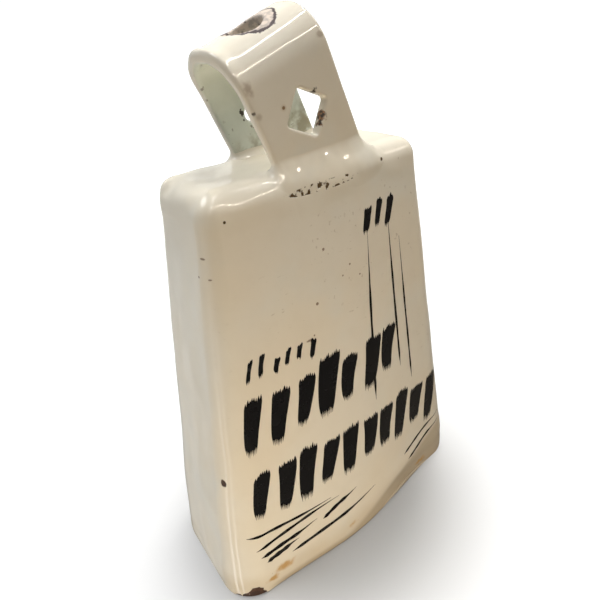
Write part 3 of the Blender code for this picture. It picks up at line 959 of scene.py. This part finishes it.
def ribbon(verts, faces, along, height, width):
    """A thin closed strip of ink along a line on the front face. width has a value per point."""
    run = np.stack([np.gradient(along), np.gradient(height)], -1)
    run /= np.linalg.norm(run, axis=-1, keepdims=True)
    one = (along - run[:, 1] * width / 2, height + run[:, 0] * width / 2)
    other = (along + run[:, 1] * width / 2, height - run[:, 0] * width / 2)
    sides = ((one, INK_LIFT), (other, INK_LIFT), (other, INK_ROOT), (one, INK_ROOT))
    ring = np.stack([on_front(*side, np.full(len(along), lift)) for side, lift in sides], 1)
    start = len(verts)
    verts.extend(ring.reshape(-1, 3).tolist())
    count = len(along)
    for i in range(count - 1):
        for j in range(4):
            m = (j + 1) % 4
            low, high = start + i * 4, start + (i + 1) * 4
            faces.append((low + j, high + j, high + m, low + m))
    faces.append((start, start + 1, start + 2, start + 3))
    end = start + (count - 1) * 4
    faces.append((end + 3, end + 2, end + 1, end))


def taper(t, start, end):
    """A stroke's width along its run t: it grows over start and dies away over end."""
    return rise(t, -0.01, start) * rise(1.01 - t, 0.0, end)


def dab(verts, faces, rng, along, height, length, width, slant, bow):
    """One loaded brush dab: bristle marks side by side, with ragged ends."""
    count = max(3, int(width / BRISTLE))
    for k in range(count):
        side = (k + 0.5) / count - 0.5
        early, late = rng.uniform(0.0, 0.9, 2)
        edge = 1.0 - abs(side) ** 3 * 3.0
        t = np.linspace(0, 1, 18)
        down = length * (0.5 - t) * (0.86 + 0.14 * edge) + (early * (1 - t) - late * t) * 1.2
        narrow = 1.08 - 0.42 * t ** 1.5
        over = side * width * narrow + bow * np.sin(math.pi * t) + 0.10 * np.sin(6 * t + k)
        thick = 1.05 + rng.uniform(-0.1, 0.25)
        wide = thick * taper(t, 0.10, 0.20) * narrow * width / count * 1.25 + 0.02
        ribbon(verts, faces, along + over + slant * down, height + down, wide)


def sweep(verts, faces, rng, first, last, width, sag):
    """A quick pen sweep, thin and pointed at both ends."""
    t = np.linspace(0, 1, 48)
    along = first[0] + (last[0] - first[0]) * t
    shake = 0.10 * np.sin(9 * t + rng.uniform(0, 6))
    height = first[1] + (last[1] - first[1]) * t + sag * np.sin(math.pi * t) + shake
    ribbon(verts, faces, along, height, width * taper(t, 0.12, 0.5) * (1 + 0.15 * np.sin(23 * t)) + 0.06)


def ink():
    """Black printed ink, a little duller than the enamel."""
    g = Graph(bpy.data.materials.new("printed_ink"))
    g.put(g.mix(g.noise(3, 4.0), INK_BLUE, INK_BLACK), g.shader.inputs["Base Color"])
    g.put(g.patches(5, 0.3, 0.7, 4.0, 0.0, 0.15, 0.32), g.shader.inputs["Roughness"])
    g.shader.inputs["IOR"].default_value = 1.3
    g.put(g.bump(g.noise(0.7, 2.0), 0.02 * MM, 0.4), g.shader.inputs["Normal"])
    return g.owner


def brushwork():
    """A plain hand-brushed pattern: two rows of slanted dabs, two short rows of ticks, and pen sweeps."""
    rng = np.random.default_rng(5)
    verts, faces = [], []
    for first, last, count, length, width, slant in BRUSH_ROWS:
        for k in range(count):
            t = k / (count - 1)
            along = first[0] + (last[0] - first[0]) * t + rng.uniform(-0.5, 0.5)
            height = first[1] + (last[1] - first[1]) * t + rng.uniform(-0.8, 0.8)
            long = length * rng.uniform(0.74, 1.12)
            lean = slant + rng.uniform(-0.05, 0.08)
            wide = width * rng.uniform(0.8, 1.15)
            bow = width * rng.uniform(-0.12, 0.12)
            dab(verts, faces, rng, along, height, long, wide, lean, bow)
    for first, last, width, sag in SWEEPS:
        sweep(verts, faces, rng, first, last, width, sag)
    made = mesh_object("printed_brush_pattern", np.array(verts), faces, None, ink())
    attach(made, "root")


brushwork()


# -------- stage, lights and camera

FLOOR_COLOUR = (0.375, 0.38, 0.39)
FLOOR_TURNS = 96
FLOOR_PROFILE = (  # radius and height in metres
    (0.4, 0.0), (1.5, 0.0), (2.6, 0.0), (2.9, 0.04), (3.1, 0.16), (3.2, 0.4), (3.22, 2.6),
)
FLOOR_DROP = 0.05 * MM  # how far the floor lies under the part's zero height
SHADOW_CENTRE, SHADOW_WIDTH, SHADOW_DEPTH = (-0.005, -0.010, 0), 0.052, 0.048  # the painted shadow's ellipse on the floor, in metres
ROOM = (  # axis, which way along it, and the colour of the room there
    ("X", -1, (0.07, 0.08, 0.085)),
    ("X", 1, (0.30, 0.25, 0.19)),
    ("Y", -1, (0.06, 0.04, 0.02)),
    ("Y", 1, (0.95, 0.95, 0.90)),
    ("Z", 1, (0.56, 0.58, 0.60)),
    ("Z", -1, (0.34, 0.29, 0.22)),
)


def make_floor():
    """A pale floor that curves up into a wall far away. Its glow is low in an ellipse round the bell, which
    paints the bell's shadow, and grows further away.
    """
    turns = np.linspace(0, 2 * math.pi, FLOOR_TURNS, endpoint=False)
    verts = [(0.0, 0.0, 0.0)]
    faces = []
    for k, (radius, height) in enumerate(FLOOR_PROFILE):
        verts += [(radius * math.cos(t), radius * math.sin(t), height) for t in turns]
        outer = 1 + k * FLOOR_TURNS
        inner = outer - FLOOR_TURNS
        for i in range(FLOOR_TURNS):
            j = (i + 1) % FLOOR_TURNS
            if k == 0:
                faces.append((0, outer + i, outer + j))
            else:
                faces.append((inner + i, outer + i, outer + j, inner + j))
    g = Graph(bpy.data.materials.new("floor_white"))
    floor = mesh_object("studio_floor", np.array(verts), faces, None, g.owner)
    floor.data.shade_smooth()
    floor.location.z = -FLOOR_DROP
    g.shader.inputs["Base Color"].default_value = (*FLOOR_COLOUR, 1)
    g.shader.inputs["Roughness"].default_value = 1.0
    g.shader.inputs["Specular IOR Level"].default_value = 0.0
    g.shader.inputs["Emission Color"].default_value = (1, 1, 1, 1)
    # the glow is low in an ellipse round the bell: a painted shadow
    away = g.vector("SUBTRACT", g.place, SHADOW_CENTRE)
    away = g.vector("MULTIPLY", away, (1 / SHADOW_WIDTH, 1 / SHADOW_DEPTH, 0))
    reach = g.length(away)
    glow = g.math("ADD", g.ramp(reach, 0.45, 1.35, 0.0, 0.56), g.ramp(reach, 1.35, 12.0, 0.0, 0.4))
    g.put(glow, g.shader.inputs["Emission Strength"])
    floor.visible_diffuse = False
    floor.visible_glossy = False


def make_world():
    """A soft room: a colour for each of the six directions, blended smoothly and made cloudy."""
    world = bpy.data.worlds.new("studio")
    bpy.context.scene.world = world
    g = Graph(world, "Background", "Generated")
    total = None
    for axis, sign, colour in ROOM:
        share = g.math("POWER", g.math("MULTIPLY", g.axis(axis), sign, True), 2.0)
        tint = g.scale(colour, share)
        total = tint if total is None else g.vector("ADD", total, tint)
    clouds = g.ramp(g.noise(1 / MM / 2.2, 2.0), 0.35, 0.65, 0.55, 1.45, "LINEAR")
    g.put(g.scale(total, clouds), g.shader.inputs["Color"])


def area(name, place, aim, size, power, colour):
    """A rectangular lamp that points from its place at its aim."""
    data = bpy.data.lights.new(name, "AREA")
    data.shape = "RECTANGLE"
    data.size, data.size_y = size
    data.energy = power
    data.color = colour
    made = add_object(name, data)
    made.location = place
    made.rotation_euler = (Vector(aim) - Vector(place)).to_track_quat("-Z", "Y").to_euler()
    return made


CAMERA_PLACE = (-77.216 * MM, -110.249 * MM, 161.528 * MM)
CAMERA_RIGHT, CAMERA_UP = (0.79566, -0.59969, -0.08537), (0.30190, 0.27042, 0.91418)


def make_camera():
    """The camera, near the bell and above its left front corner."""
    data = bpy.data.cameras.new("camera")
    data.sensor_width = 36.0
    data.lens = 29.06
    data.shift_y = -70 / 600
    data.clip_start = 0.005
    made = add_object("camera", data)
    across, up = Vector(CAMERA_RIGHT), Vector(CAMERA_UP)
    turn = Matrix((across, up, across.cross(up))).transposed().to_4x4()
    made.matrix_world = Matrix.Translation(CAMERA_PLACE) @ turn
    bpy.context.scene.camera = made


CORNER_AIM = (-0.045, -0.017, 0.05)
LAMPS = (  # name, place, aim, size, power, colour, and whether it gives only glints or only soft light
    ("key", (-0.5, 0.3, 0.9), (0, 0, 0.05), (0.4, 0.4), 3.4, (1, 1, 1), "both"),
    ("window", (0.25, -0.01, 0.75), (0, 0, 0.12), (0.5, 0.35), 6.0, (1, 0.97, 0.90), "soft"),
    ("tube_near", (0.2, -1.0, 0.95), (0, 0, 0.12), (2.6, 0.026), 9.0, (1, 0.88, 0.74), "glint"),
    ("tube_far", (0.2, -0.19, 1.0), (0, 0, 0.12), (2.6, 0.026), 7.5, (1, 0.97, 0.9), "glint"),
    ("low_front", (-0.08, -0.15, 0.015), (-0.01, -0.02, 0.06), (0.12, 0.06), 0.175, (1, 0.83, 0.6), "soft"),
    ("corner_strip_1", (-0.57, -0.20, -0.42), CORNER_AIM, (0.03, 0.9), 0.24, (1, 1, 0.97), "glint"),
    ("corner_strip_2", (-0.60, -0.02, -0.42), CORNER_AIM, (0.05, 0.9), 0.30, (1, 1, 1), "glint"),
    ("side_strip", (-0.33, 0.72, -0.42), (-0.047, 0, 0.06), (0.16, 0.9), 0.07, (1, 1, 1), "glint"),
    ("low_left", (-0.17, -0.04, 0.01), (-0.045, 0, 0.05), (0.10, 0.06), 0.036, (1, 1, 0.97), "soft"),
)

make_floor()
make_world()
for name, place, aim, size, power, colour, gives in LAMPS:
    lamp = area(name, place, aim, size, power, colour)
    lamp.visible_camera = False
    lamp.visible_glossy = gives != "soft"
    lamp.visible_diffuse = gives != "glint"
make_camera()
bpy.context.scene.view_settings.view_transform = "Standard"
